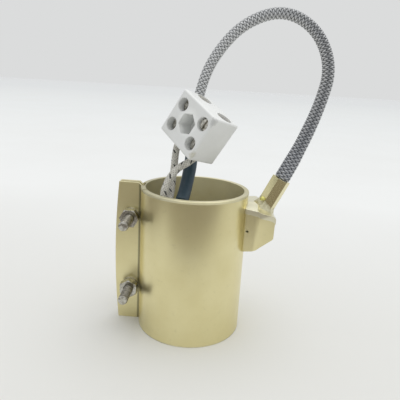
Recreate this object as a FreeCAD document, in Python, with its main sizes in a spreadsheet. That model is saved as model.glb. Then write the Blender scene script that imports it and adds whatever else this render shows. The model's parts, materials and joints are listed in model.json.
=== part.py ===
import FreeCAD, Part
import math
import os
from types import SimpleNamespace
import Sketcher

# Sealed brass band heater for a machine nozzle, with its braided outlet and terminal block.
# Millimetres and degrees. The bore axis is Z, the bottom rim lies in z = 0, the band is split
# at -X, the terminal cap stands out at +X and the clamp nuts face -Y.

SIZES = {
    # Band wall, from the bore outwards
    "bore_diameter": 40.0,
    "band_length": 60.0,
    "liner_thickness": 0.4,
    "lip_height": 1.0,
    "lip_thickness": 0.2,
    "lip_chamfer": 0.2,
    "seam_angle": 25.0,
    "seam_gap": 0.6,
    "inner_mica_thickness": 0.25,
    "core_thickness": 0.3,
    "ribbon_thickness": 0.1,
    "ribbon_clearance": 0.05,
    "outer_mica_thickness": 0.15,
    "shell_thickness": 0.45,
    # Heating ribbon
    "ribbon_margin": 4.0,
    "ribbon_bridge": 2.6,
    "ribbon_slot": 1.1,
    "ribbon_slots": 18,
    # Clamp ears
    "ear_gap": 1.0,
    "ear_thickness": 1.6,
    "ear_reach": 30.7,
    "ear_bow": 1.4,
    "ear_rise": 0.9,
    "ear_shoulder": 1.2,
    "ear_bend": 0.3,
    "notch_clearance": 0.15,
    # Clamp screws, nuts and washers
    "nut_clearance": 0.2,
    "clamp_low": 15.7,
    "clamp_high_drop": 13.1,
    "thread_diameter": 3.9,
    "clamp_hole": 4.5,
    "clamp_length": 20.0,
    "clamp_tip": 0.5,
    "head_diameter": 7.0,
    "head_height": 2.6,
    "slot_width": 1.0,
    "slot_depth": 1.2,
    "washer_thickness": 0.8,
    "washer_bore": 4.3,
    "spring_inset": 0.15,
    "spring_thickness": 1.0,
    "spring_gap": 0.7,
    "nut_flats": 7.0,
    "nut_height": 3.2,
    "nut_corner_angle": 30.0,
    "lower_nut_turn": 30.0,
    "thread_clearance": 0.08,
    # Terminal cap and its lid
    "cap_depth": 11.3,
    "cap_bend_depth": 4.7,
    "cap_half_width": 8.0,
    "cap_root_half_width": 5.2,
    "cap_wall": 0.6,
    "cap_height": 17.9,
    "cap_root_drop": 1.2,
    "cap_chamfer_depth": 4.6,
    "cap_chamfer_height": 5.4,
    "cap_top_drop": 4.6,
    "cap_ridge_depth": 3.8,
    "lid_angle": 33.7,
    "lid_thickness": 0.6,
    "lid_rim": 0.6,
    "lid_rim_drop": 1.4,
    "notch_depth": 0.6,
    "notch_rise": 7.8,
    "notch_diameter": 1.0,
    "window_width": 10.0,
    "window_rise": 4.5,
    "window_height": 8.0,
    # Outlet ferrule and its braze
    "ferrule_flats": 6.6,
    "ferrule_bore": 4.5,
    "ferrule_length": 13.2,
    "ferrule_depth": 2.0,
    "ferrule_inset": 4.3,
    "ferrule_tilt": 25.0,
    "braze_base_radius": 5.2,
    "braze_top_radius": 3.9,
    "braze_height": 1.6,
    "braze_sink": 0.5,
    # Joints between the winding and the outgoing wires
    "tail_spacing": 2.8,
    "tail_width": 1.8,
    "tail_thickness": 0.3,
    "tail_drop": 2.1,
    "crimp_diameter": 2.2,
    "crimp_length": 4.5,
    "wire_diameter": 1.4,
    "wire_length": 10.5,
    "wire_spacing": 1.68,
    "wire_clearance": 0.1,
    # Terminal block
    "block_length": 18.0,
    "block_width": 20.0,
    "block_height": 14.0,
    "block_rounding": 0.7,
    "block_x": -28.15,
    "block_y": -6.9,
    "block_z": 30.96,
    "block_yaw": -15.7,
    "block_pitch": -58.6,
    "block_roll": 64.1,
    "pole_spacing": 12.6,
    "wire_height": -1.5,
    "entry_diameter": 6.0,
    "entry_depth": 3.0,
    "well_diameter": 5.0,
    "well_spacing": 8.5,
    "pocket_flats": 7.2,
    "pocket_depth": 6.8,
    "mounting_hole": 4.4,
    "insert_diameter": 5.2,
    "insert_bore": 3.4,
    "insert_clearance": 0.1,
    "terminal_thread": 3.0,
    "terminal_clearance": 0.1,
    "terminal_length": 3.3,
    "terminal_head_diameter": 4.2,
    "terminal_head_height": 1.6,
    "terminal_slot_width": 0.8,
    "terminal_slot_depth": 0.8,
    "terminal_touch": 0.05,
    "terminal_raise": 1.5,
    "conductor_diameter": 1.6,
    "conductor_length": 5.6,
    "conductor_clearance": 0.3,
    # Cords
    "braid_diameter": 4.2,
    "sleeve_diameter": 4.8,
    "lead_diameter": 2.6,
    "lead_insertion": 2.0,
    # How far a cutting shape reaches past what it cuts
    "overshoot": 1.0,
}

# Sides of a cord's section, few enough to keep its faces light
CORD_SIDES = 12

# Cord routes, measured from the outlet's seat on the lid, points chosen by hand along the
# photographed run
BRAID_ROUTE = [
    (3.45, 0.0, 7.4), (8.1, 0.0, 17.3), (12.7, 1.6, 27.5), (17.5, 3.0, 41.0),
    (20.5, 4.8, 55.5), (13.9, 6.8, 69.2), (0.7, 7.8, 75.6), (-14.1, 7.4, 70.0),
    (-24.3, 6.8, 57.8), (-29.1, 5.8, 45.6), (-30.9, 7.4, 34.5),
]
SLEEVE_ROUTE = [
    (-30.9, 7.4, 34.5), (-31.6, 8.0, 29.2), (-32.0, 6.6, 24.0), (-32.0, 3.0, 19.9),
    (-31.7, -1.4, 16.9), (-31.4, -5.8, 14.4), (-31.2, -9.4, 12.6),
]
LEAD_ROUTES = [
    [
        (-31.2, -8.8, 11.4), (-31.1, -11.2, 10.1), (-32.6, -13.4, 8.5), (-35.3, -14.3, 8.2),
        (-37.2, -12.9, 10.2), (-37.3, -10.0, 13.3), (-37.0, -6.8, 16.9), (-37.3, -3.6, 20.6),
        (-37.0, -0.9, 23.7), (-34.7, -0.8, 27.6),
    ],
    [
        (-31.2, -10.0, 13.8), (-31.0, -13.6, 12.0), (-33.1, -16.6, 9.8), (-36.5, -17.9, 8.3),
        (-39.4, -17.5, 9.4), (-39.8, -16.1, 12.2), (-37.9, -14.9, 14.7), (-35.1, -13.7, 16.4),
        (-32.0, -11.9, 16.8), (-29.4, -9.3, 17.5), (-26.9, -8.7, 21.7),
    ],
]

document = FreeCAD.newDocument("band_heater")
sheet = document.addObject("Spreadsheet::Sheet", "sizes")


class Size:
    """A size that carries its sheet formula beside its number."""

    def __init__(self, formula, value):
        self.formula = formula
        self.value = value

    def __add__(self, other):
        other = as_size(other)
        return Size(f"({self.formula} + {other.formula})", self.value + other.value)

    def __sub__(self, other):
        other = as_size(other)
        return Size(f"({self.formula} - {other.formula})", self.value - other.value)

    def __mul__(self, other):
        other = as_size(other)
        return Size(f"({self.formula} * {other.formula})", self.value * other.value)

    def __truediv__(self, other):
        other = as_size(other)
        return Size(f"({self.formula} / {other.formula})", self.value / other.value)

    def __neg__(self):
        return Size(f"(-{self.formula})", -self.value)


def as_size(number):
    """A plain number as a size without a sheet cell."""
    if isinstance(number, Size):
        return number
    return Size(f"({number})", float(number))


def sine(angle):
    return Size(f"sin({angle.formula})", math.sin(math.radians(angle.value)))


def cosine(angle):
    return Size(f"cos({angle.formula})", math.cos(math.radians(angle.value)))


def tangent(angle):
    return Size(f"tan({angle.formula})", math.tan(math.radians(angle.value)))


def fill_sheet():
    """Write each driving size to its cell and hand the sizes back by name."""
    for row, (name, value) in enumerate(SIZES.items(), start=1):
        sheet.set(f"A{row}", name)
        sheet.set(f"B{row}", str(value))
        sheet.setAlias(f"B{row}", name)
    document.recompute()
    named = {name: Size(f"sizes.{name}", float(sheet.get(name))) for name in SIZES}
    return SimpleNamespace(**named)


def add_worked_out_sizes(s):
    """Sizes that follow from the driving ones."""
    s.bore_radius = s.bore_diameter / 2
    s.liner_outer = s.bore_radius + s.liner_thickness
    s.inner_mica_outer = s.liner_outer + s.inner_mica_thickness
    s.core_outer = s.inner_mica_outer + s.core_thickness
    s.ribbon_outer = s.core_outer + s.ribbon_thickness
    s.outer_mica_inner = s.ribbon_outer + s.ribbon_clearance
    s.shell_inner = s.outer_mica_inner + s.outer_mica_thickness
    s.shell_outer = s.shell_inner + s.shell_thickness
    s.lip_outer = s.shell_outer + s.lip_thickness
    s.wall_low = s.liner_thickness
    s.wall_high = s.band_length - s.liner_thickness
    s.ear_face = s.ear_gap / 2 + s.ear_thickness
    s.ear_high = s.band_length + s.ear_rise
    s.nut_corner = s.nut_flats / math.sqrt(3)
    s.washer_radius = s.nut_flats / 2
    s.spring_radius = s.washer_radius - s.spring_inset
    depth = s.ear_face + s.washer_thickness + s.spring_thickness
    s.shell_beside_nut = s.shell_outer - depth * depth / (s.shell_outer * 2)
    s.clamp_reach = s.shell_beside_nut + s.nut_corner + s.nut_clearance
    s.clamp_high = s.band_length - s.clamp_high_drop
    s.cap_reach = s.shell_outer + s.cap_depth
    s.cap_bend_reach = s.shell_outer + s.cap_bend_depth
    s.cap_chamfer_reach = s.shell_outer + s.cap_chamfer_depth
    s.cap_ridge = s.shell_outer + s.cap_ridge_depth
    s.cap_top = s.band_length - s.cap_top_drop
    s.cap_low = s.cap_top - s.cap_height
    s.notch_reach = s.shell_outer + s.notch_depth
    s.notch_height = s.cap_low + s.notch_rise
    s.window_low = s.cap_low + s.window_rise
    s.window_high = s.window_low + s.window_height
    s.lid_turn = s.cap_ridge + s.lid_thickness * tangent(s.lid_angle / 2)
    s.lid_top = s.cap_top + s.lid_thickness
    s.ferrule_seat = s.cap_reach - s.ferrule_inset
    s.seat_height = s.lid_top - (s.ferrule_seat - s.lid_turn) * tangent(s.lid_angle)
    s.insert_length = s.block_length - s.entry_depth * 2
    s.pole = s.pole_spacing / 2
    s.well = s.well_spacing / 2
    s.tight_tip = s.wire_height + s.conductor_diameter / 2 + s.terminal_touch
    s.braid_start = as_size(BRAID_ROUTE[0][2]) / cosine(s.ferrule_tilt)
    return s


# Sketches

ROLES = {"flat": "XY_Plane", "front": "XZ_Plane", "side": "YZ_Plane"}


def pin(sketch, geometry, end, x, y):
    """Hold one point of a sketch at its place from the origin."""
    for kind, size in (("DistanceX", as_size(x)), ("DistanceY", as_size(y))):
        limit = Sketcher.Constraint(kind, -1, 1, geometry, end, size.value)
        index = sketch.addConstraint(limit)
        sketch.setExpression(f"Constraints[{index}]", size.formula)


def set_radius(sketch, geometry, radius):
    index = sketch.addConstraint(Sketcher.Constraint("Radius", geometry, radius.value))
    sketch.setExpression(f"Constraints[{index}]", radius.formula)


def sketch_in(body, view, name, offset=None):
    """A sketch on one of the body's own origin planes, moved along its normal."""
    sketch = body.newObject("Sketcher::SketchObject", name)
    planes = body.Origin.OriginFeatures
    plane = next(item for item in planes if item.Role == ROLES[view])
    sketch.AttachmentSupport = (plane, [""])
    sketch.MapMode = "FlatFace"
    if offset is not None:
        sketch.setExpression("AttachmentOffset.Base.z", as_size(offset).formula)
    return sketch


def draw_outline(sketch, corners, bow_edge=None, bow_radius=None):
    """A closed outline of straight edges, one of which may be an arc bowed to the left."""
    corners = [(as_size(x), as_size(y)) for x, y in corners]
    points = [FreeCAD.Vector(x.value, y.value, 0) for x, y in corners]
    count = len(points)
    for index in range(count):
        start = points[index]
        end = points[(index + 1) % count]
        if index == bow_edge:
            chord = end - start
            sag = bow_radius.value - math.sqrt(bow_radius.value ** 2 - chord.Length ** 2 / 4)
            middle = (start + end) * 0.5 + FreeCAD.Vector(-sag, 0, 0)
            sketch.addGeometry(Part.Arc(start, middle, end))
            set_radius(sketch, index, bow_radius)
        else:
            sketch.addGeometry(Part.LineSegment(start, end))
    for index, (x, y) in enumerate(corners):
        for geometry in (index, (index - 1) % count):
            gaps = {end: sketch.getPoint(geometry, end).distanceToPoint(points[index]) for end in (1, 2)}
            pin(sketch, geometry, min(gaps, key=gaps.get), x, y)


def draw_circle(sketch, x, y, radius):
    centre = FreeCAD.Vector(as_size(x).value, as_size(y).value, 0)
    geometry = sketch.addGeometry(Part.Circle(centre, FreeCAD.Vector(0, 0, 1), radius.value))
    pin(sketch, geometry, 3, x, y)
    set_radius(sketch, geometry, radius)


def draw_rectangle(sketch, left, right, low, high):
    draw_outline(sketch, [(left, low), (right, low), (right, high), (left, high)])


def draw_radial_strip(sketch, angle, inner, outer, width):
    """A straight strip that lies along a radius of the bore."""
    across = sine(angle) * (width / 2)
    along = cosine(angle) * (width / 2)
    corners = []
    for reach, side in ((inner, 1), (outer, 1), (outer, -1), (inner, -1)):
        corners.append((cosine(angle) * reach - across * side, sine(angle) * reach + along * side))
    draw_outline(sketch, corners)


def draw_hexagon(sketch, flats, turn=0):
    """A hexagon about the origin, turned from having a corner on the sketch's x axis."""
    corner = flats / math.sqrt(3)
    corners = []
    for step in range(6):
        angle = as_size(60 * step) + turn
        corners.append((corner * cosine(angle), corner * sine(angle)))
    draw_outline(sketch, corners)


# Features

def new_body(name):
    body = document.addObject("PartDesign::Body", name)
    body.Label = name
    return body


def finish_feature(body, feature, removes):
    """Recompute and see that the feature adds or removes material as meant."""
    before = 0 if body.Shape.isNull() else body.Shape.Volume
    body.Tip = feature
    document.recompute()
    after = body.Shape.Volume
    if removes and not after < before:
        raise RuntimeError(f"{feature.Label} removes nothing")
    if not removes and not after > before:
        raise RuntimeError(f"{feature.Label} adds nothing")
    return feature


def pad(body, sketch, length, symmetric=False):
    feature = body.newObject("PartDesign::Pad", sketch.Name + "_pad")
    feature.Profile = sketch
    if symmetric:
        feature.SideType = "Symmetric"
    feature.setExpression("Length", as_size(length).formula)
    return finish_feature(body, feature, removes=False)


def pocket(body, sketch, length, symmetric=False, forwards=False):
    """Cut against the sketch's normal, along it where forwards is set, or both ways."""
    feature = body.newObject("PartDesign::Pocket", sketch.Name + "_pocket")
    feature.Profile = sketch
    feature.Reversed = forwards
    if symmetric:
        feature.SideType = "Symmetric"
    feature.setExpression("Length", as_size(length).formula)
    return finish_feature(body, feature, removes=True)


def revolve(body, sketch):
    feature = body.newObject("PartDesign::Revolution", sketch.Name + "_turned")
    feature.Profile = sketch
    feature.ReferenceAxis = (sketch, ["V_Axis"])
    feature.Angle = 360
    return finish_feature(body, feature, removes=False)


def groove(body, sketch):
    feature = body.newObject("PartDesign::Groove", sketch.Name + "_groove")
    feature.Profile = sketch
    feature.ReferenceAxis = (sketch, ["V_Axis"])
    feature.Angle = 360
    return finish_feature(body, feature, removes=True)


def round_edges(body, radius, wanted):
    """Fillet the edges of the body's tip that the test picks."""
    base = body.Tip
    names = [f"Edge{i}" for i, edge in enumerate(base.Shape.Edges, start=1) if wanted(edge)]
    if not names:
        raise RuntimeError(f"no edge to round on {body.Label}")
    feature = body.newObject("PartDesign::Fillet", body.Name + "_rounding")
    feature.Base = (base, names)
    feature.setExpression("Radius", radius.formula)
    body.Tip = feature
    document.recompute()


def place(item, x, y, z, roll=0, pitch=0):
    """Bind the item's place, turned about X by roll and about Y by pitch."""
    x, y, z, roll, pitch = (as_size(value).formula for value in (x, y, z, roll, pitch))
    item.setExpression("Placement", f"placement(vector({x}; {y}; {z}); rotation(0; {pitch}; {roll}))")


def place_on_block(item, s, x=0, y=0, z=0, pitch=0):
    """Bind the item's place to a point of the tilted terminal block, turned further about its Y."""
    x, y, z = (as_size(value).formula for value in (x, y, z))
    turn = f"rotation({s.block_yaw.formula}; {s.block_pitch.formula}; {s.block_roll.formula})"
    across = (s.ferrule_seat + s.block_x).formula
    height = (s.seat_height + s.block_z).formula
    centre = f"vector({across}; {s.block_y.formula}; {height})"
    place = f"{centre} + {turn} * vector({x}; {y}; {z})"
    item.setExpression("Placement", f"placement({place}; {turn} * rotation(0; {pitch}; 0))")


# Band

def split_ring(name, inner, outer, low, high, gap):
    """A thin ring about the bore, open at -X by the gap."""
    body = new_body(name)
    section = sketch_in(body, "flat", name + "_section", low)
    draw_circle(section, 0, 0, outer)
    draw_circle(section, 0, 0, inner)
    pad(body, section, high - low)
    opening = sketch_in(body, "front", name + "_opening")
    spare = SIZES["overshoot"]
    draw_rectangle(opening, -outer - spare, -inner + spare, low - spare, high + spare)
    pocket(body, opening, gap, symmetric=True)
    return body


def cut_window(body, s):
    """The opening towards the terminal cap that the winding's tails pass."""
    window = sketch_in(body, "side", body.Name + "_window", s.shell_outer + s.overshoot)
    half = s.window_width / 2
    draw_rectangle(window, -half, half, s.window_low, s.window_high)
    pocket(body, window, s.shell_outer - s.core_outer + s.overshoot)


def make_outer_sheath(s):
    """Brass shell whose ends turn out into two bowed clamp ears."""
    body = new_body("outer_sheath")
    section = sketch_in(body, "flat", "shell_section", s.wall_low)
    draw_circle(section, 0, 0, s.shell_outer)
    draw_circle(section, 0, 0, s.shell_inner)
    pad(body, section, s.wall_high - s.wall_low)

    ears = sketch_in(body, "front", "ear_outline")
    root = -(s.shell_inner + s.shell_thickness / 2)
    rise = s.ear_high
    bow_radius = rise * rise / (s.ear_bow * 8) + s.ear_bow / 2
    corners = [
        (root, 0), (-s.ear_reach, 0), (-s.ear_reach, s.ear_high),
        (-s.shell_outer - s.ear_shoulder, s.ear_high), (root, s.wall_high),
    ]
    draw_outline(ears, corners, bow_edge=1, bow_radius=bow_radius)
    pad(body, ears, s.ear_face * 2, symmetric=True)

    def is_ear_root(edge):
        middle = edge.CenterOfMass
        on_face = abs(abs(middle.y) - s.ear_face.value) < 0.05
        on_shell = abs(math.hypot(middle.x, middle.y) - s.shell_outer.value) < 0.05
        return middle.x < 0 and on_face and on_shell and edge.Length > rise.value / 2

    round_edges(body, s.ear_bend, is_ear_root)

    split = sketch_in(body, "front", "split_outline")
    past_ears = s.ear_reach + s.ear_bow + s.overshoot
    inside = s.shell_inner - s.overshoot
    draw_rectangle(split, -past_ears, -inside, -s.overshoot, s.ear_high + s.overshoot)
    pocket(body, split, s.ear_gap, symmetric=True)

    holes = sketch_in(body, "front", "clamp_holes")
    for height in (s.clamp_low, s.clamp_high):
        draw_circle(holes, -s.clamp_reach, height, s.clamp_hole / 2)
    pocket(body, holes, (s.ear_face + s.overshoot) * 2, symmetric=True)

    cut_window(body, s)
    return body


def make_inner_sheath(s):
    """Bore liner whose rims fold out over the wall, the upper one proud of it as a lip."""
    body = new_body("inner_sheath")
    profile = sketch_in(body, "front", "liner_profile")
    top = s.band_length
    sheet_edge = s.liner_thickness
    lip = s.lip_outer
    corner = s.lip_chamfer
    draw_outline(profile, [
        (s.bore_radius, 0), (s.shell_outer - corner, 0), (s.shell_outer, corner), (s.shell_outer, sheet_edge),
        (s.liner_outer, sheet_edge), (s.liner_outer, top - sheet_edge), (s.shell_outer, top - sheet_edge),
        (s.shell_outer, top - s.lip_height), (lip, top - s.lip_height), (lip, top - corner),
        (lip - corner, top), (s.bore_radius, top),
    ])
    revolve(body, profile)

    notch = sketch_in(body, "front", "ear_notch")
    draw_rectangle(notch, -s.lip_outer - s.overshoot, -s.liner_outer, -s.overshoot, top + s.overshoot)
    width = (s.ear_face + s.ear_bend + s.notch_clearance) * 2
    pocket(body, notch, width, symmetric=True)

    seam = sketch_in(body, "flat", "seam_outline")
    inside = s.bore_radius - s.overshoot
    draw_radial_strip(seam, s.seam_angle + 180, inside, s.lip_outer + s.overshoot, s.seam_gap)
    pocket(body, seam, (top + s.overshoot) * 2, symmetric=True)
    return body


def make_heating_winding(s):
    """Resistance ribbon that runs up and down all round the mica core."""
    low = s.wall_low + s.ribbon_margin
    high = s.wall_high - s.ribbon_margin
    body = split_ring("heating_winding", s.core_outer, s.ribbon_outer, low, high, s.ear_gap * 2)
    pitch = 360 / SIZES["ribbon_slots"]
    for name, start, plane, forwards in (("up", pitch / 4, low, True), ("down", pitch * 3 / 4, high, False)):
        slot = sketch_in(body, "flat", "ribbon_slot_" + name, plane)
        inside = s.core_outer - s.overshoot
        draw_radial_strip(slot, as_size(start), inside, s.ribbon_outer + s.overshoot, s.ribbon_slot)
        cut = pocket(body, slot, high - low - s.ribbon_bridge, forwards=forwards)
        pattern = body.newObject("PartDesign::PolarPattern", "ribbon_slots_" + name)
        pattern.Originals = [cut]
        axis = next(item for item in body.Origin.OriginFeatures if item.Role == "Z_Axis")
        pattern.Axis = (axis, [""])
        pattern.Angle = 360
        pattern.setExpression("Occurrences", s.ribbon_slots.formula)
        finish_feature(body, pattern, removes=True)
    return body


def make_band(s):
    gap = s.ear_gap
    wall = (s.wall_low, s.wall_high)
    outer_mica = split_ring("mica_outer", s.outer_mica_inner, s.shell_inner, *wall, gap)
    cut_window(outer_mica, s)
    return [
        make_inner_sheath(s),
        split_ring("mica_inner", s.liner_outer, s.inner_mica_outer, *wall, gap),
        split_ring("winding_core", s.inner_mica_outer, s.core_outer, *wall, gap),
        make_heating_winding(s),
        outer_mica,
        make_outer_sheath(s),
    ]


# Clamp fasteners, drawn along Z and laid along -Y

def make_clamp_screw(s, level, height):
    body = new_body("clamp_screw_" + level)
    profile = sketch_in(body, "front", f"screw_profile_{level}")
    thread = s.thread_diameter / 2
    head = s.head_diameter / 2
    draw_outline(profile, [
        (0, -s.head_height), (head, -s.head_height), (head, 0), (thread, 0),
        (thread, s.clamp_length - s.clamp_tip), (thread - s.clamp_tip, s.clamp_length), (0, s.clamp_length),
    ])
    revolve(body, profile)
    slot = sketch_in(body, "side", f"screw_slot_{level}")
    half = s.slot_width / 2
    draw_rectangle(slot, -half, half, -s.head_height - s.overshoot, -s.head_height + s.slot_depth)
    pocket(body, slot, s.head_diameter + s.overshoot, symmetric=True)
    place(body, -s.clamp_reach, s.ear_face + s.washer_thickness, height, roll=90)
    return body


def make_washer(s, name, height, face):
    body = new_body(name)
    section = sketch_in(body, "flat", name + "_section")
    draw_circle(section, 0, 0, s.washer_radius)
    draw_circle(section, 0, 0, s.washer_bore / 2)
    pad(body, section, s.washer_thickness)
    place(body, -s.clamp_reach, face, height, roll=90)
    return body


def make_spring_washer(s, level, height, face):
    body = new_body("spring_washer_" + level)
    section = sketch_in(body, "flat", "spring_section_" + level)
    draw_circle(section, 0, 0, s.spring_radius)
    draw_circle(section, 0, 0, s.washer_bore / 2)
    pad(body, section, s.spring_thickness)
    gap = sketch_in(body, "flat", "spring_gap_" + level)
    inside = s.washer_bore / 2 - s.overshoot
    draw_rectangle(gap, inside, s.spring_radius + s.overshoot, -s.spring_gap / 2, s.spring_gap / 2)
    pocket(body, gap, (s.spring_thickness + s.overshoot) * 2, symmetric=True)
    place(body, -s.clamp_reach, face, height, roll=90)
    return body


def make_nut(s, level, height, face, turn):
    """Hexagon nut with its corners turned off at both ends."""
    name = "clamp_nut_" + level
    body = new_body(name)
    section = sketch_in(body, "flat", name + "_section")
    draw_hexagon(section, s.nut_flats, turn)
    draw_circle(section, 0, 0, s.thread_diameter / 2 + s.thread_clearance)
    pad(body, section, s.nut_height)
    tip = s.nut_flats / 2
    outside = s.nut_corner + s.overshoot
    for end, edge, inward in (("near", as_size(0), 1), ("far", s.nut_height, -1)):
        cut = sketch_in(body, "front", f"{name}_{end}_corners")
        depth = (outside - tip) * tangent(s.nut_corner_angle) * inward
        past = edge - s.overshoot * inward
        draw_outline(cut, [(tip, edge), (outside, edge + depth), (outside, past), (tip, past)])
        groove(body, cut)
    place(body, -s.clamp_reach, face, height, roll=90)
    return body


def make_fasteners(s):
    items = []
    flat_face = -s.ear_face
    spring_face = flat_face - s.washer_thickness
    nut_face = spring_face - s.spring_thickness
    for level, height, turn in (("lower", s.clamp_low, s.lower_nut_turn), ("upper", s.clamp_high, 0)):
        items.append(make_clamp_screw(s, level, height))
        items.append(make_washer(s, "head_washer_" + level, height, s.ear_face + s.washer_thickness))
        items.append(make_washer(s, "flat_washer_" + level, height, flat_face))
        items.append(make_spring_washer(s, level, height, spring_face))
        items.append(make_nut(s, level, height, nut_face, turn))
    return items


# Terminal cap, drawn as a plan and a profile that meet

def free_sketch(name, upright):
    """A sketch of its own, in the plan plane or upright in the plane of X and Z."""
    sketch = document.addObject("Sketcher::SketchObject", name)
    if upright:
        sketch.Placement = FreeCAD.Placement(FreeCAD.Vector(), FreeCAD.Rotation(FreeCAD.Vector(1, 0, 0), 90))
    return sketch


def extrude(sketch, length, start=None):
    """A straight extrusion both ways from the sketch, or upwards from a height."""
    solid = document.addObject("Part::Extrusion", sketch.Name + "_solid")
    solid.Base = sketch
    solid.DirMode = "Normal"
    solid.Solid = True
    solid.Symmetric = start is None
    solid.setExpression("LengthFwd", as_size(length).formula)
    if start is not None:
        sketch.setExpression("Placement.Base.z", as_size(start).formula)
    return solid


def boolean(kind, name, items):
    """Meet, or cut the later items off the first."""
    if kind == "meet":
        result = document.addObject("Part::MultiCommon", name)
        result.Shapes = items
        return result
    result = items[0]
    for index, tool in enumerate(items[1:], start=1):
        cut = document.addObject("Part::Cut", f"{name}_{index}")
        cut.Base = result
        cut.Tool = tool
        result = cut
    return result


def cap_plan(s, name, grow):
    """Plan of the cap, wider past the bend than at the shell, grown by a wall or a rim."""
    sketch = free_sketch(name, upright=False)
    root = s.cap_root_half_width + grow
    side = s.cap_half_width + grow
    inside = s.shell_inner - s.overshoot
    draw_outline(sketch, [
        (inside, -root), (s.cap_bend_reach, -side), (s.cap_reach + grow, -side),
        (s.cap_reach + grow, side), (s.cap_bend_reach, side), (inside, root),
    ])
    start = s.cap_low - s.cap_root_drop - s.overshoot
    return extrude(sketch, s.lid_top + s.overshoot - start, start)


def cap_profile(s, name, shrink):
    """Side outline of the cap, with its sloping top and its chamfered bottom."""
    sketch = free_sketch(name, upright=True)
    inside = s.shell_inner - s.overshoot
    reach = s.cap_reach - shrink
    low = s.cap_low + shrink
    turn = s.cap_chamfer_reach - shrink / 2
    end_top = s.cap_top - (reach - s.cap_ridge) * tangent(s.lid_angle)
    draw_outline(sketch, [
        (inside, low - s.cap_root_drop), (turn, low), (reach, s.cap_low + s.cap_chamfer_height + shrink / 2),
        (reach, end_top), (s.cap_ridge, s.cap_top), (inside, s.cap_top),
    ])
    return extrude(sketch, s.cap_half_width * 4)


def cylinder(name, radius, height, x=0, y=0, z=0, pitch=0):
    item = document.addObject("Part::Cylinder", name)
    item.setExpression("Radius", as_size(radius).formula)
    item.setExpression("Height", as_size(height).formula)
    place(item, x, y, z, pitch=pitch)
    return item


def shell_cutter(s, name):
    return cylinder(name, s.shell_outer, s.band_length)


def on_outlet(name, s, radius, length, start, y=0):
    """A round bar in line with the outlet, from a distance past the lid's face."""
    x = s.ferrule_seat + sine(s.ferrule_tilt) * start
    z = s.seat_height + cosine(s.ferrule_tilt) * start
    bar = cylinder(name, radius, length, x, y, z, s.ferrule_tilt)
    bar.Label = name
    return bar


def ferrule_prism(s, name, below, above):
    """Hexagonal bar along the outlet's axis, from below the lid to above it."""
    prism = document.addObject("Part::Prism", name)
    prism.Polygon = 6
    prism.setExpression("Circumradius", (s.ferrule_flats / math.sqrt(3)).formula)
    prism.setExpression("Height", (below + above).formula)
    x = s.ferrule_seat - sine(s.ferrule_tilt) * below
    z = s.seat_height - cosine(s.ferrule_tilt) * below
    place(prism, x, 0, z, pitch=s.ferrule_tilt)
    return prism


def make_terminal_cap(s):
    """Folded brass box, open at the top and towards the shell, with a small hole in its front."""
    none = as_size(0)
    outer_plan = cap_plan(s, "cap_plan", none)
    inner_plan = cap_plan(s, "cap_inner_plan", -s.cap_wall)
    outside = boolean("meet", "cap_outside", [outer_plan, cap_profile(s, "cap_side", none)])
    inside = boolean("meet", "cap_inside", [inner_plan, cap_profile(s, "cap_inner_side", s.cap_wall)])
    notch = cylinder("cap_notch", s.notch_diameter / 2, s.cap_half_width + s.overshoot)
    place(notch, s.notch_reach, 0, s.notch_height, roll=90)
    cap = boolean("cut", "terminal_cap", [outside, inside, shell_cutter(s, "cap_seat"), notch])
    cap.Label = "terminal_cap"
    return cap


def make_cap_lid(s):
    """Bent lid with a turned-down rim that follows the cap's plan."""
    sketch = free_sketch("lid_side", upright=True)
    inside = s.shell_inner - s.overshoot
    reach = s.cap_reach + s.lid_rim
    fall = tangent(s.lid_angle)
    top_end = s.lid_top - (reach - s.lid_turn) * fall
    low_end = s.cap_top - (reach - s.cap_ridge) * fall - s.lid_rim_drop
    draw_outline(sketch, [
        (inside, s.cap_top - s.lid_rim_drop), (s.cap_ridge, s.cap_top - s.lid_rim_drop), (reach, low_end),
        (reach, top_end), (s.lid_turn, s.lid_top), (inside, s.lid_top),
    ])
    none = as_size(0)
    side = extrude(sketch, s.cap_half_width * 4)
    block = boolean("meet", "lid_block", [cap_plan(s, "lid_plan", s.lid_rim), side])
    room_plan = cap_plan(s, "lid_room_plan", none)
    room = boolean("meet", "lid_room", [room_plan, cap_profile(s, "lid_room_side", none)])
    outlet = ferrule_prism(s, "lid_outlet", s.ferrule_depth * 2, s.ferrule_length)
    lid = boolean("cut", "cap_lid", [block, room, shell_cutter(s, "lid_seat"), outlet])
    lid.Label = "cap_lid"
    return lid


def make_ferrule(s):
    """Hexagonally pressed outlet tube that the braid comes out of."""
    bar = ferrule_prism(s, "ferrule_bar", s.ferrule_depth, s.ferrule_length)
    below = s.ferrule_depth + s.overshoot
    hole = on_outlet("ferrule_hole", s, s.ferrule_bore / 2, below + s.ferrule_length + s.overshoot, -below)
    ferrule = boolean("cut", "outlet_ferrule", [bar, hole])
    ferrule.Label = "outlet_ferrule"
    return ferrule


def make_braze(s, lid):
    """Braze collar between the lid's slope and the ferrule."""
    cone = document.addObject("Part::Cone", "braze_cone")
    cone.setExpression("Radius1", s.braze_base_radius.formula)
    cone.setExpression("Radius2", s.braze_top_radius.formula)
    cone.setExpression("Height", (s.braze_height + s.braze_sink).formula)
    x = s.ferrule_seat - sine(s.lid_angle) * s.braze_sink
    z = s.seat_height - cosine(s.lid_angle) * s.braze_sink
    place(cone, x, 0, z, pitch=s.lid_angle)
    core = ferrule_prism(s, "braze_core", s.ferrule_depth * 2, s.ferrule_length)
    collar = boolean("cut", "braze_collar", [cone, lid, core])
    collar.Label = "braze_collar"
    return collar


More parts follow.
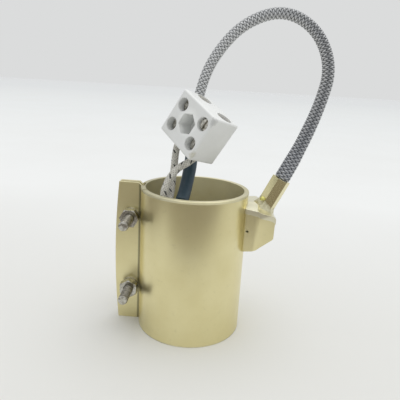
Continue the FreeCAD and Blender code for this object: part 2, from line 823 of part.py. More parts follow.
def make_joints_in_cap(s):
    """Winding tails, crimps and wires, one set for each pole, in line with the outlet."""
    items = []
    start = s.braid_start - s.wire_clearance - s.wire_length
    for number, side in ((1, 1), (2, -1)):
        y = s.tail_spacing / 2 * side
        crimp_start = start - s.crimp_length
        crimp = on_outlet(f"crimp_sleeve_{number}", s, s.crimp_diameter / 2, s.crimp_length, crimp_start, y)
        wire_y = s.wire_spacing / 2 * side
        wire = on_outlet(f"inner_wire_{number}", s, s.wire_diameter / 2, s.wire_length, start, wire_y)
        tail = document.addObject("Part::Box", f"winding_tail_{number}")
        tail.Label = tail.Name
        reach = s.ferrule_seat + sine(s.ferrule_tilt) * crimp_start
        tail_low = s.seat_height + cosine(s.ferrule_tilt) * crimp_start - s.tail_drop
        tail.setExpression("Length", (reach - s.ribbon_outer).formula)
        tail.setExpression("Width", s.tail_width.formula)
        tail.setExpression("Height", s.tail_thickness.formula)
        place(tail, s.ribbon_outer, y - s.tail_width / 2, tail_low)
        items += [tail, crimp, wire]
    return items


# Terminal block, drawn level about its own centre with the screw face up

def make_terminal_block(s):
    body = new_body("terminal_block")
    outline = sketch_in(body, "flat", "block_outline")
    half_length = s.block_length / 2
    half_width = s.block_width / 2
    draw_rectangle(outline, -half_length, half_length, -half_width, half_width)
    pad(body, outline, s.block_height, symmetric=True)
    round_edges(body, s.block_rounding, lambda edge: True)

    for name, offset, forwards in (("supply", half_length, False), ("lead", -half_length, True)):
        entries = sketch_in(body, "side", f"{name}_entries", offset)
        for y in (s.pole, -s.pole):
            draw_circle(entries, y, s.wire_height, s.entry_diameter / 2)
        pocket(body, entries, s.entry_depth, forwards=forwards)

    bores = sketch_in(body, "side", "insert_bores")
    for y in (s.pole, -s.pole):
        draw_circle(bores, y, s.wire_height, s.insert_diameter / 2 + s.insert_clearance)
    pocket(body, bores, s.insert_length, symmetric=True)

    wells = sketch_in(body, "flat", "screw_wells", s.block_height / 2)
    for x in (s.well, -s.well):
        for y in (s.pole, -s.pole):
            draw_circle(wells, x, y, s.well_diameter / 2)
    pocket(body, wells, s.block_height / 2 - s.wire_height)

    nut_pocket = sketch_in(body, "flat", "nut_pocket", s.block_height / 2)
    draw_hexagon(nut_pocket, s.pocket_flats)
    pocket(body, nut_pocket, s.pocket_depth)
    hole = sketch_in(body, "flat", "block_mounting_hole")
    draw_circle(hole, 0, 0, s.mounting_hole / 2)
    pocket(body, hole, s.block_height + s.overshoot, symmetric=True)
    place_on_block(body, s)
    return body


def make_insert(s, number, y):
    """Brass terminal tube with two tapped holes."""
    name = f"terminal_insert_{number}"
    body = new_body(name)
    section = sketch_in(body, "side", name + "_section")
    draw_circle(section, 0, 0, s.insert_diameter / 2)
    draw_circle(section, 0, 0, s.insert_bore / 2)
    pad(body, section, s.insert_length, symmetric=True)
    holes = sketch_in(body, "flat", name + "_tapped_holes")
    for x in (s.well, -s.well):
        draw_circle(holes, x, 0, s.terminal_thread / 2 + s.terminal_clearance)
    pocket(body, holes, s.insert_diameter, forwards=True)
    place_on_block(body, s, 0, y, s.wire_height)
    return body


def make_terminal_screw(s, name, x, y, tip):
    body = new_body(name)
    profile = sketch_in(body, "front", name + "_profile")
    shank = s.terminal_thread / 2
    head = s.terminal_head_diameter / 2
    top = s.terminal_length + s.terminal_head_height
    draw_outline(profile, [
        (0, 0), (shank, 0), (shank, s.terminal_length), (head, s.terminal_length), (head, top), (0, top),
    ])
    revolve(body, profile)
    slot = sketch_in(body, "side", name + "_slot")
    half = s.terminal_slot_width / 2
    draw_rectangle(slot, -half, half, top - s.terminal_slot_depth, top + s.overshoot)
    pocket(body, slot, s.terminal_head_diameter + s.overshoot, symmetric=True)
    place_on_block(body, s, x, y, tip)
    return body


def make_terminals(s):
    """The block and what it holds, with the second supply screw backed out."""
    items = [make_terminal_block(s)]
    raised = s.tight_tip + s.terminal_raise
    for number, y, supply_tip in ((1, s.pole, s.tight_tip), (2, -s.pole, raised)):
        items.append(make_insert(s, number, y))
        items.append(make_terminal_screw(s, f"supply_screw_{number}", s.well, y, supply_tip))
        items.append(make_terminal_screw(s, f"lead_screw_{number}", -s.well, y, s.tight_tip))
        conductor = document.addObject("Part::Cylinder", f"lead_conductor_{number}")
        conductor.Label = conductor.Name
        conductor.setExpression("Radius", (s.conductor_diameter / 2).formula)
        conductor.setExpression("Height", s.conductor_length.formula)
        start = s.lead_insertion + s.conductor_clearance - s.block_length / 2
        place_on_block(conductor, s, start, y, s.wire_height, pitch=90)
        items.append(conductor)
    return items


# Cords

def rounded_wire(points):
    """Straight runs joined by arcs that touch them, and the radii of the arcs."""
    edges = []
    radii = []
    at = points[0]
    for before, corner, after in zip(points, points[1:], points[2:]):
        back = before - corner
        ahead = after - corner
        half_turn = (math.pi - back.getAngle(ahead)) / 2
        trim = 0.45 * min(back.Length, ahead.Length)
        radius = trim / math.tan(half_turn)
        radii.append(radius)
        back.normalize()
        ahead.normalize()
        start = corner + back * trim
        end = corner + ahead * trim
        inward = back + ahead
        inward.normalize()
        middle = corner + inward * (math.hypot(radius, trim) - radius)
        edges.append(Part.LineSegment(at, start).toShape())
        edges.append(Part.Arc(start, middle, end).toShape())
        at = end
    edges.append(Part.LineSegment(at, points[-1]).toShape())
    return Part.Wire(edges), radii


def cord_section(start, heading, radius):
    """A many-sided section across the cord's start."""
    turn = FreeCAD.Rotation(FreeCAD.Vector(0, 0, 1), heading)
    corners = []
    for step in range(CORD_SIDES + 1):
        angle = 2 * math.pi * step / CORD_SIDES
        corners.append(start + turn.multVec(FreeCAD.Vector(math.cos(angle), math.sin(angle), 0) * radius))
    return Part.makePolygon(corners)


def make_cord(s, name, route, diameter):
    """A plain cord along its route from the outlet's seat, checked by its volume."""
    seat = FreeCAD.Vector(s.ferrule_seat.value, 0, s.seat_height.value)
    points = [seat + FreeCAD.Vector(*point) for point in route]
    wire, radii = rounded_wire(points)
    section = cord_section(points[0], points[1] - points[0], diameter.value / 2)
    solid = wire.makePipeShell([section], True, True)
    expected = Part.Face(section).Area * wire.Length
    print(name, "length", round(wire.Length, 1), "radii", [round(radius, 1) for radius in radii])
    if abs(solid.Volume - expected) > 0.01 * expected:
        raise RuntimeError(f"{name} doesn't follow its route")
    cord = document.addObject("Part::Feature", name)
    cord.Label = name
    cord.Shape = solid
    cord.Placement = FreeCAD.Placement()
    return cord


def make_cords(s):
    items = [
        make_cord(s, "braid", BRAID_ROUTE, s.braid_diameter),
        make_cord(s, "lead_sleeve", SLEEVE_ROUTE, s.sleeve_diameter),
    ]
    for number, route in enumerate(LEAD_ROUTES, start=1):
        items.append(make_cord(s, f"lead_{number}", route, s.lead_diameter))
    return items


def export(items):
    """Check every object, then write each sub-part to its own file."""
    document.recompute()
    for item in document.Objects:
        if "Invalid" in item.State or "Error" in item.State:
            raise RuntimeError(f"{item.Label} is {item.State}")
    os.makedirs("parts", exist_ok=True)
    for item in items:
        shape = item.Shape
        if shape.isNull() or not shape.isValid() or not shape.Solids:
            raise RuntimeError(f"{item.Label} has no valid solid")
        shape.exportStep(f"parts/{item.Label}.step")
        print(item.Label, "solids", len(shape.Solids), "volume", round(shape.Volume, 2))


sizes = add_worked_out_sizes(fill_sheet())
lid = make_cap_lid(sizes)
cap_pieces = [make_terminal_cap(sizes), lid, make_ferrule(sizes), make_braze(sizes, lid)]
parts = make_band(sizes) + make_fasteners(sizes) + cap_pieces + make_joints_in_cap(sizes)
parts += make_terminals(sizes) + make_cords(sizes)
export(parts)
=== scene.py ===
import json
import math

import bmesh
import bpy
from mathutils import Matrix, Vector


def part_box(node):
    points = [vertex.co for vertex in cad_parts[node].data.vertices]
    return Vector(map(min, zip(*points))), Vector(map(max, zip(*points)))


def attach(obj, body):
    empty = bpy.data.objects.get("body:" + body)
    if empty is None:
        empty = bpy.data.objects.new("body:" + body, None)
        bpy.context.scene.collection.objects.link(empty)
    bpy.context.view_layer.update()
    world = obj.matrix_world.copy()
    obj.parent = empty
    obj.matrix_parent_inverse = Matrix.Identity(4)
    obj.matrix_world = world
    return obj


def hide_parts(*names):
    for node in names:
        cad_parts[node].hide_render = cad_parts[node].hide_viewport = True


# Looks of the brass band heater. Lengths are written in millimetres and turned into metres
# where they are used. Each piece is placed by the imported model's own frame.

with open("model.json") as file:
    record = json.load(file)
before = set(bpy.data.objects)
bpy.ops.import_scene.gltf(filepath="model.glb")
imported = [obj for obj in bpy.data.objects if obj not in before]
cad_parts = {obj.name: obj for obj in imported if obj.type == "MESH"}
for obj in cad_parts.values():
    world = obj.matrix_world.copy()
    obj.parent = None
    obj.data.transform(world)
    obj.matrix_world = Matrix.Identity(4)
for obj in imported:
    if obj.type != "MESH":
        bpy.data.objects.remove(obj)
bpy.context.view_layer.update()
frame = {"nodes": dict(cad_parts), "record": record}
nodes = frame["nodes"]

MM = 0.001

# Cord routes, measured from the outlet's seat on the cap's lid. The shrink tube and the leads
# sink deeper into the band's mouth than their solids do, as the photograph shows them.
OUTLET_SEAT = Vector((28.7, 0.0, 53.987))
BRAID_ROUTE = [
    (3.45, 0.0, 7.4), (8.1, 0.0, 17.3), (12.7, 1.6, 27.5), (17.5, 3.0, 41.0),
    (20.5, 4.8, 55.5), (13.9, 6.8, 69.2), (0.7, 7.8, 75.6), (-14.1, 7.4, 70.0),
    (-24.3, 6.8, 57.8), (-29.1, 5.8, 45.6), (-30.9, 7.4, 34.5),
]
SLEEVE_ROUTE = [
    (-30.9, 7.4, 34.5), (-31.6, 8.0, 29.2), (-31.6, 6.6, 23.6), (-31.0, 3.0, 18.2),
    (-31.2, -1.4, 13.4), (-31.7, -5.8, 9.2), (-32.2, -9.8, 5.9), (-32.7, -13.3, 3.7),
]
LEAD_ROUTES = [
    [
        (-32.6, -12.6, 3.5), (-32.7, -13.3, 3.0), (-34.3, -14.2, 2.2), (-36.3, -14.0, 2.4),
        (-37.5, -12.8, 3.5), (-37.2, -10.3, 6.0), (-37.1, -8.0, 11.0), (-37.0, -5.0, 15.2),
        (-37.1, -2.4, 19.0), (-36.7, -0.9, 23.2), (-34.7, -0.8, 27.6),
    ],
    [
        (-31.9, -13.0, 2.7), (-32.2, -14.6, 0.8), (-33.6, -15.9, -0.6), (-36.3, -16.3, -1.0),
        (-38.8, -15.6, 0.4), (-39.8, -14.8, 3.4), (-39.5, -14.3, 7.0), (-38.6, -13.6, 10.4),
        (-36.9, -12.7, 13.6), (-34.4, -11.5, 16.3), (-30.7, -10.0, 18.2), (-26.9, -8.7, 21.7),
    ],
]
# Direction that the wide side of a flattened cord faces
FRONT = Vector((0.0, -0.96, 0.28))


# Node materials

class Look:
    """A node material in the making. Coordinates are the object's own, in millimetres."""

    def __init__(self, name, **sockets):
        self.material = bpy.data.materials.new(name)
        self.material.use_nodes = True
        self.tree = self.material.node_tree
        self.tree.nodes.clear()
        output = self.tree.nodes.new("ShaderNodeOutputMaterial")
        self.shader = self.tree.nodes.new("ShaderNodeBsdfPrincipled")
        self.tree.links.new(self.shader.outputs["BSDF"], output.inputs["Surface"])
        for socket, value in sockets.items():
            self.shader.inputs[socket.replace("_", " ")].default_value = value
        self.bump_from = None

    def add(self, kind, settings=None, **inputs):
        node = self.tree.nodes.new(kind)
        for key, value in (settings or {}).items():
            setattr(node, key, value)
        for key, value in inputs.items():
            self.feed(node.inputs[key.replace("_", " ")], value)
        return node

    def feed(self, socket, value):
        if isinstance(value, bpy.types.NodeSocket):
            self.tree.links.new(value, socket)
        else:
            socket.default_value = value

    def place(self, stretch=(1, 1, 1)):
        """Object coordinates in millimetres, squeezed or stretched along the axes."""
        coordinates = self.add("ShaderNodeTexCoord")
        mapping = self.add("ShaderNodeMapping", Vector=coordinates.outputs["Object"])
        mapping.inputs["Scale"].default_value = [factor / MM for factor in stretch]
        return mapping.outputs["Vector"]

    def along(self, stretch=(1, 1, 1)):
        """Surface coordinates laid by the mesh: round the cord, then along it in millimetres."""
        coordinates = self.add("ShaderNodeTexCoord")
        mapping = self.add("ShaderNodeMapping", Vector=coordinates.outputs["UV"])
        mapping.inputs["Scale"].default_value = stretch
        return mapping.outputs["Vector"]

    def math(self, operation, *values):
        node = self.add("ShaderNodeMath", {"operation": operation})
        for socket, value in zip(node.inputs, values):
            self.feed(socket, value)
        return node.outputs["Value"]

    def soften(self, radius):
        """Edges that catch the light as if rounded to a radius in millimetres."""
        node = self.add("ShaderNodeBevel", {"samples": 6}, Radius=radius * MM)
        self.bump_from = node.outputs["Normal"]
        self.feed(self.shader.inputs["Normal"], self.bump_from)

    def near(self, spot, reach, ragged):
        """1 at a spot and 0 from a reach on, with a ragged border, all in millimetres."""
        place = self.place()
        away = self.add("ShaderNodeVectorMath", {"operation": "DISTANCE"})
        self.feed(away.inputs[0], place)
        self.feed(away.inputs[1], spot)
        drift = self.math("SUBTRACT", self.noise(place, 1.4, 4.0), 0.5)
        wander = self.math("MULTIPLY", drift, 2 * ragged)
        share = self.math("DIVIDE", self.math("ADD", away.outputs["Value"], wander), reach)
        return self.ramp(share, (0.3, 1.0), (1.0, 0.0))

    def attribute(self, name):
        return self.add("ShaderNodeAttribute", {"attribute_name": name}).outputs["Fac"]

    def noise(self, vector, scale, detail=3.0, roughness=0.55):
        node = self.add(
            "ShaderNodeTexNoise", Vector=vector, Scale=scale, Detail=detail, Roughness=roughness,
        )
        return node.outputs["Fac"]

    def ramp(self, factor, *stops):
        """Colours or greys at places from 0 to 1."""
        node = self.add("ShaderNodeValToRGB", Fac=factor)
        elements = node.color_ramp.elements
        while len(elements) < len(stops):
            elements.new(0.5)
        for element, (at, value) in zip(elements, stops):
            element.position = at
            element.color = value if hasattr(value, "__len__") else (value, value, value, 1)
        return node.outputs["Color"]

    def mix(self, factor, first, second):
        node = self.add("ShaderNodeMix", {"data_type": "RGBA"})
        self.feed(node.inputs["Factor"], factor)
        self.feed(node.inputs[6], first)
        self.feed(node.inputs[7], second)
        return node.outputs[2]

    def colour(self, value):
        self.feed(self.shader.inputs["Base Color"], value)

    def rough(self, value):
        self.feed(self.shader.inputs["Roughness"], value)

    def relief(self, height, depth, strength=1.0):
        """Bump of a depth in millimetres, laid over any relief given before."""
        node = self.add("ShaderNodeBump", Height=height, Distance=depth * MM, Strength=strength)
        if self.bump_from is not None:
            self.feed(node.inputs["Normal"], self.bump_from)
        self.bump_from = node.outputs["Normal"]
        self.feed(self.shader.inputs["Normal"], self.bump_from)


def shade(value):
    """A colour written as 0 to 255 as a screen shows it, in the renderer's linear units."""
    linear = []
    for part in value:
        part = part / 255
        linear.append(part / 12.92 if part <= 0.04045 else ((part + 0.055) / 1.055) ** 2.4)
    return (*linear, 1)


# Where an ear leaves the shell, seen from above, and the bore's diameter
FOLD = (-22.1, 2.5, 0.0)
BORE = 40.0


def fold_shade(look):
    """Painted shade, darkest in the folds where the ears leave the shell, and gone a millimetre
    away.
    """
    place = look.add("ShaderNodeSeparateXYZ", Vector=look.place()).outputs
    across = look.math("ABSOLUTE", place["Y"])
    flat = look.add("ShaderNodeCombineXYZ", X=place["X"], Y=across).outputs["Vector"]
    away = look.add("ShaderNodeVectorMath", {"operation": "DISTANCE"})
    look.feed(away.inputs[0], flat)
    look.feed(away.inputs[1], FOLD)
    return look.ramp(away.outputs["Value"], (0.4, 0.8), (0.75, 0.0))


def bore_side_shade(look):
    """Painted shade that thickens toward the left and the right of the bore."""
    across = look.add("ShaderNodeSeparateXYZ", Vector=look.place((1 / BORE, 1, 1))).outputs["X"]
    share = look.math("ADD", across, 0.5)
    left, right = [(0.0, 0.5), (0.25, 0.3), (0.42, 0.0)], [(0.8, 0.0), (0.92, 0.2), (1.0, 0.35)]
    return look.ramp(share, *left, *right)


def brass(name, pale, dull, roughness, grain=(0.5, 0.5, 0.05), metal=1.0, shadows=None):
    """Rolled sheet brass: faint clouds of dulling, fine grain along the roll, folded edges."""
    look = Look(name, Metallic=metal)
    look.soften(0.2)
    clouds = look.noise(look.place(), 0.07, detail=3.0)
    streaks = look.noise(look.place(grain), 5.0, detail=4.0, roughness=0.7)
    handling = look.noise(look.place(), 0.5, detail=5.0, roughness=0.6)
    tint = look.ramp(clouds, (0.35, shade(pale)), (0.7, shade(dull)))
    # Painted shade: where a shadows mask is given, the brass darkens to under half its dull tone.
    if shadows is not None:
        tint = look.mix(shadows(look), tint, shade([0.45 * part for part in dull]))
    smears = look.ramp(handling, (0.60, 0.0), (0.78, 0.25))
    look.colour(look.mix(smears, tint, shade([0.86 * part for part in dull])))
    polish = look.ramp(streaks, (0.3, roughness - 0.02), (0.75, roughness + 0.03))
    cloudy = look.ramp(clouds, (0.35, 0.0), (0.75, 0.05))
    look.rough(look.math("ADD", polish, cloudy))
    look.relief(streaks, 0.004, 0.5)
    look.relief(clouds, 0.12, 0.3)
    return look


def steel(name, bright, dull, roughness, dents=0.03):
    """Bright zinc plate with fine turning marks, dulled in patches and faintly dented."""
    look = Look(name, Metallic=1.0)
    look.soften(0.15)
    patches = look.noise(look.place(), 0.9, detail=4.0)
    fine = look.noise(look.place(), 9.0, detail=2.0)
    look.colour(look.ramp(patches, (0.35, shade(bright)), (0.7, shade(dull))))
    look.rough(look.ramp(fine, (0.3, roughness - 0.06), (0.7, roughness + 0.1)))
    look.relief(fine, 0.01, 0.4)
    look.relief(patches, dents, 0.6)
    return look


def mica():
    look = Look("mica", Roughness=0.5)
    layers = look.noise(look.place((0.2, 0.2, 6.0)), 1.5, detail=3.0)
    look.colour(look.ramp(layers, (0.3, shade((150, 132, 98))), (0.7, shade((110, 94, 66)))))
    look.relief(layers, 0.05, 0.5)
    return look


def braze(name, pale, dull):
    """Brass-coloured run-out, softly lumpy, greyed in its hollows."""
    look = Look(name, Metallic=0.85)
    look.soften(0.5)
    lumps = look.noise(look.place(), 0.6, detail=4.0)
    look.colour(look.ramp(lumps, (0.35, shade(pale)), (0.7, shade(dull))))
    look.rough(look.ramp(lumps, (0.3, 0.34), (0.7, 0.48)))
    look.relief(lumps, 0.3, 0.5)
    return look


# Direction that the block's wire-entry end faces, and how far that end is from the origin
BLOCK_TOP = (0.50157, -0.14099, 0.85355)
BLOCK_HEIGHT = 82.755
# Places on the block's face with the screws
POCKET = (-2.4, -10.8, 86.8)
GREY_PATCH = (6.3, -19.6, 88.3)
STAIN = (-0.5, -17.6, 76.0)


def ceramic():
    """Dense pressed ceramic: white, faintly mottled, with rounded edges, a grey patch and a stain,
    and painted light round the hex pocket and on the top end.
    """
    look = Look("ceramic", Roughness=0.4, IOR=1.5)
    look.soften(0.5)
    clouds = look.noise(look.place(), 0.16, detail=3.0)
    grit = look.noise(look.place(), 7.0, detail=2.0)
    marks = look.noise(look.place((0.25, 1.0, 0.6)), 0.7, detail=5.0, roughness=0.65)
    tint = look.ramp(clouds, (0.3, shade((228, 229, 227))), (0.7, shade((222, 223, 220))))
    # Painted light: the ceramic whitens in and round the hex pocket, where shade falls.
    pocket_light = look.near(POCKET, 6.0, 0.2)
    tint = look.mix(pocket_light, tint, shade((253, 254, 251)))
    # Painted light: the ceramic whitens over the last millimetre toward the block's top end, which
    # faces the lamp.
    height = look.add("ShaderNodeVectorMath", {"operation": "DOT_PRODUCT"})
    look.feed(height.inputs[0], look.place())
    look.feed(height.inputs[1], BLOCK_TOP)
    over = look.math("SUBTRACT", height.outputs["Value"], BLOCK_HEIGHT - 1.0)
    top_end_light = look.ramp(over, (0.0, 0.0), (1.0, 0.6))
    tint = look.mix(top_end_light, tint, shade((252, 253, 250)))
    rubbed = look.ramp(marks, (0.66, 0.0), (0.80, 0.3))
    tint = look.mix(rubbed, tint, shade((200, 201, 196)))
    # A soft grey patch by the block's edge near a screw.
    grey_patch = look.math("MULTIPLY", look.near(GREY_PATCH, 2.2, 1.4), 0.45)
    tint = look.mix(grey_patch, tint, shade((150, 150, 148)))
    stain = look.math("MULTIPLY", look.near(STAIN, 1.9, 1.2), 0.45)
    look.colour(look.mix(stain, tint, shade((164, 156, 112))))
    look.relief(grit, 0.02, 0.3)
    look.relief(clouds, 0.15, 0.25)
    return look


WIRES_PER_STRAND = 4
# Length over which the braid's colour shifts from its start to its far end
BRAID_RUN = 140.0


def wire_braid():
    """Fine plated wires side by side in each strand, with painted highlight where the strand rides
    on top and painted shade where it dips under.
    """
    look = Look("wire_braid", Metallic=0.25)
    lay = look.add("ShaderNodeSeparateXYZ", Vector=look.along()).outputs
    wires = look.math("SINE", look.math("MULTIPLY", lay["X"], 2 * math.pi * WIRES_PER_STRAND))
    glint = look.noise(look.along((4.0, 0.7, 1)), 1.6, detail=3.0)
    grime = look.noise(look.place(), 0.12, detail=3.0)
    uneven = look.ramp(glint, (0.25, 0.75), (0.7, 1.0))
    # Painted highlight on the strands' crowns, uneven along them, over painted shade where they dip
    # under.
    sheen_mask = look.math("MULTIPLY", look.attribute("painted_sheen"), uneven)
    tint = look.mix(sheen_mask, shade((78, 82, 85)), shade((255, 255, 255)))
    tint = look.mix(look.ramp(grime, (0.45, 0.0), (0.8, 0.25)), tint, shade((128, 131, 140)))
    run = look.math("DIVIDE", lay["Y"], BRAID_RUN)
    tint = look.mix(look.ramp(run, (0.05, 0.45), (0.3, 0.0)), tint, shade((112, 118, 130)))
    look.colour(look.mix(look.ramp(run, (0.45, 0.0), (0.75, 0.3)), tint, shade((226, 228, 228))))
    look.rough(look.ramp(glint, (0.3, 0.46), (0.7, 0.36)))
    look.relief(wires, 0.03, 0.4)
    return look


# Painted shade: the fill under the strands is dark so that the gaps of the weave look shaded.
def braid_gap_shade():
    look = Look("braid_gap_shade", Roughness=0.8)
    fuzz = look.noise(look.place(), 3.0, detail=3.0)
    look.colour(look.ramp(fuzz, (0.3, shade((62, 63, 68))), (0.7, shade((84, 85, 90)))))
    look.relief(fuzz, 0.05, 0.5)
    return look


def glass_fibre():
    """Woven glass sleeving with two black tracer threads that surface as short dashes, and painted
    shade in the weave's hollows.
    """
    look = Look("glass_fibre", Roughness=0.75, Sheen_Weight=0.2)
    lay = look.add("ShaderNodeSeparateXYZ", Vector=look.along()).outputs
    turn, run = lay["X"], lay["Y"]

    def helices(starts, slope):
        """A value that stays the same along each of a number of helices."""
        turned, advanced = look.math("MULTIPLY", turn, starts), look.math("MULTIPLY", run, slope)
        return look.math("ADD", turned, advanced)

    def ridges(starts, slope):
        return look.math("SINE", look.math("MULTIPLY", helices(starts, slope), 2 * math.pi))

    weave = look.math("MAXIMUM", ridges(8, 0.8), ridges(8, -0.8))
    on_thread = look.math("LESS_THAN", look.math("FRACT", helices(2, 0.19)), 0.17)
    dash = look.math("LESS_THAN", look.math("FRACT", look.math("MULTIPLY", run, 0.31)), 0.45)
    tracer = look.math("MULTIPLY", on_thread, dash)
    soil = look.noise(look.place(), 0.7, detail=5.0, roughness=0.65)
    ground = look.ramp(soil, (0.32, shade((236, 234, 226))), (0.7, shade((190, 187, 175))))
    # Painted shade in the hollows of the weave.
    hollow_shade = look.ramp(weave, (0.0, 0.55), (0.6, 0.0))
    ground = look.mix(hollow_shade, ground, shade((146, 143, 132)))
    look.colour(look.mix(tracer, ground, shade((34, 34, 36))))
    look.relief(weave, 0.12, 1.0)
    return look


def shrink_tube():
    """Navy heat-shrink tube, satin, with the faint lines of what it grips."""
    look = Look("shrink_tube", Roughness=0.42, IOR=1.5)
    film = look.noise(look.place(), 0.35, detail=3.0)
    ribs = look.noise(look.along((5.0, 0.25, 1)), 1.4, detail=3.0)
    look.colour(look.ramp(film, (0.3, shade((38, 59, 71))), (0.75, shade((53, 74, 86)))))
    look.relief(ribs, 0.08, 0.4)
    look.relief(film, 0.15, 0.3)
    return look


def bare_wire():
    look = Look("bare_wire", Metallic=1.0)
    lay = look.noise(look.place((3.0, 3.0, 0.6)), 3.0, detail=2.0)
    look.colour(look.ramp(lay, (0.3, shade((196, 192, 184))), (0.7, shade((150, 146, 138)))))
    look.rough(look.ramp(lay, (0.3, 0.25), (0.7, 0.45)))
    look.relief(lay, 0.1, 0.6)
    return look


def make_looks():
    pale, dull = (233, 224, 178), (227, 217, 168)
    return {
        "brass_sheet": brass("brass_sheet", pale, dull, 0.3),
        "brass_shell": brass("brass_shell", pale, dull, 0.3, shadows=fold_shade),
        "brass_outlet": brass("brass_outlet", pale, dull, 0.2),
        "brass_lid": brass("brass_lid", (238, 234, 208), (230, 225, 196), 0.28, metal=0.9),
        "brass_liner": brass(
            "brass_liner", (242, 236, 200), (230, 222, 180), 0.42, metal=0.5, shadows=bore_side_shade,
        ),
        "braze": braze("braze", (228, 223, 192), (196, 189, 154)),
        "braze_drop": braze("braze_drop", (232, 228, 140), (206, 200, 112)),
        "brass_insert": brass(
            "brass_insert", (214, 190, 124), (176, 146, 84), 0.3, grain=(0.05, 0.5, 0.5),
        ),
        "mica": mica(),
        "resistance_ribbon": steel("resistance_ribbon", (150, 148, 142), (112, 108, 100), 0.4),
        "plated_steel": steel("plated_steel", (206, 204, 196), (152, 148, 137), 0.2),
        # A darker copy of the plating for the threads: painted shade in their valleys.
        "shaded_thread_steel": steel("shaded_thread_steel", (158, 154, 144), (108, 104, 94), 0.3),
        "terminal_steel": steel(
            "terminal_steel", (232, 230, 222), (124, 120, 108), 0.16, dents=0.3,
        ),
        "nickel_wire": bare_wire(),
        "metal_braid": wire_braid(),
        "glass_fibre": glass_fibre(),
        "shrink_tube": shrink_tube(),
        "ceramic": ceramic(),
    }


def dress(piece, look):
    piece.data.materials.clear()
    piece.data.materials.append(look.material)


# Solids whose look is a version of the one of their material slot
OWN_LOOKS = {
    "outer_sheath": "brass_shell", "inner_sheath": "brass_liner", "outlet_ferrule": "brass_outlet",
    "supply_screw_1": "terminal_steel", "supply_screw_2": "terminal_steel",
    "lead_screw_1": "terminal_steel", "lead_screw_2": "terminal_steel",
}


def dress_solids(looks):
    """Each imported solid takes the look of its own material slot, or its own version of it."""
    for part in frame["record"]["subparts"]:
        node = part["node"]
        dress(nodes[node], looks[OWN_LOOKS.get(node, part["material_slot"])])


# Lines that the cords follow

def smooth_line(route):
    """Points of the spline that has the route as its control points."""
    curve = bpy.data.curves.new("line", "CURVE")
    curve.dimensions = "3D"
    curve.resolution_u = 48
    spline = curve.splines.new("NURBS")
    spline.points.add(len(route) - 1)
    for point, place in zip(spline.points, route):
        point.co = (*((OUTLET_SEAT + Vector(place)) * MM), 1)
    spline.order_u = 3
    spline.use_endpoint_u = True
    holder = bpy.data.objects.new("line", curve)
    bpy.context.scene.collection.objects.link(holder)
    mesh = bpy.data.meshes.new_from_object(holder)
    points = [vertex.co.copy() for vertex in mesh.vertices]
    bpy.data.objects.remove(holder)
    return points


def even_stations(points, step, front=None):
    """Stations at even distances: place, sideways axis, second axis and distance in millimetres.

    The second axis faces front where one is given, and otherwise turns as little as it can.
    """
    distances = [0.0]
    for before, after in zip(points, points[1:]):
        distances.append(distances[-1] + (after - before).length)
    count = max(8, round(distances[-1] / (step * MM)))
    places = []
    index = 0
    for number in range(count + 1):
        want = distances[-1] * number / count
        while index < len(points) - 2 and distances[index + 1] < want:
            index += 1
        span = distances[index + 1] - distances[index]
        place = points[index].lerp(points[index + 1], (want - distances[index]) / span)
        places.append((place, want / MM))
    stations = []
    side = None
    for number, (place, distance) in enumerate(places):
        ahead = places[min(number + 1, count)][0] - places[max(number - 1, 0)][0]
        ahead.normalize()
        if front is not None:
            side = front.cross(ahead)
        elif side is None:
            side = ahead.orthogonal()
        side = (side - ahead * side.dot(ahead)).normalized()
        stations.append((place, side.copy(), ahead.cross(side), distance))
    return stations


def profile(stops, distance):
    """A value between named stops along a cord, eased at each stop."""
    for (start, low), (end, high) in zip(stops, stops[1:]):
        if distance <= end:
            share = max(0.0, (distance - start) / (end - start))
            return low + (high - low) * share * share * (3 - 2 * share)
    return stops[-1][1]


# Meshes

def new_piece(name, vertices, faces, marks=None):
    """A smooth mesh piece; marks holds a surface coordinate for each vertex of each face."""
    mesh = bpy.data.meshes.new(name)
    mesh.from_pydata(vertices, [], faces)
    mesh.polygons.foreach_set("use_smooth", [True] * len(mesh.polygons))
    if marks is not None:
        layer = mesh.uv_layers.new(name="lay")
        layer.data.foreach_set("uv", [value for face in marks for mark in face for value in mark])
    mesh.update()
    piece = bpy.data.objects.new(name, mesh)
    bpy.context.scene.collection.objects.link(piece)
    return piece


def add_part(whole, part):
    """Add the vertices, faces and marks of a part to those of a whole."""
    start = len(whole[0])
    whole[0].extend(part[0])
    whole[1].extend(tuple(index + start for index in face) for face in part[1])
    whole[2].extend(part[2])


def off_line(station, angle, reach):
    """The point at an angle round a station and a reach in millimetres away from it."""
    place, side, second, _ = station
    reach *= MM
    return place + side * (math.cos(angle) * reach) + second * (math.sin(angle) * reach)


def tube_parts(stations, radius, sides):
    """Vertices, faces and surface marks of a tube whose radius follows distance and angle."""
    vertices, faces, marks = [], [], []
    for station in stations:
        for step in range(sides):
            angle = 2 * math.pi * step / sides
            vertices.append(off_line(station, angle, radius(station[3], angle)))
    for ring in range(len(stations) - 1):
        for step in range(sides):
            after = (step + 1) % sides
            low, high = ring * sides, (ring + 1) * sides
            faces.append((low + step, low + after, high + after, high + step))
            near, far = stations[ring][3], stations[ring + 1][3]
            left, right = step / sides, (step + 1) / sides
            marks.append(((left, near), (right, near), (right, far), (left, far)))
    last = (len(stations) - 1) * sides
    faces.append(tuple(reversed(range(sides))))
    faces.append(tuple(last + step for step in range(sides)))
    for distance in (stations[0][3], stations[-1][3]):
        marks.append(tuple((step / sides, distance) for step in range(sides)))
    return vertices, faces, marks


def oval(half, depth, angle):
    """Reach of an ellipse at an angle from its wide axis."""
    return half * depth / math.hypot(depth * math.cos(angle), half * math.sin(angle))


# Braid

BRAID_STRANDS = 6
BRAID_LAY = 9.6
STRAND_WIDTH = 1.7
# How far a strand rises and sinks as it crosses others, and how deep its middle is seated
STRAND_RISE = 0.22
STRAND_SEAT = 0.1
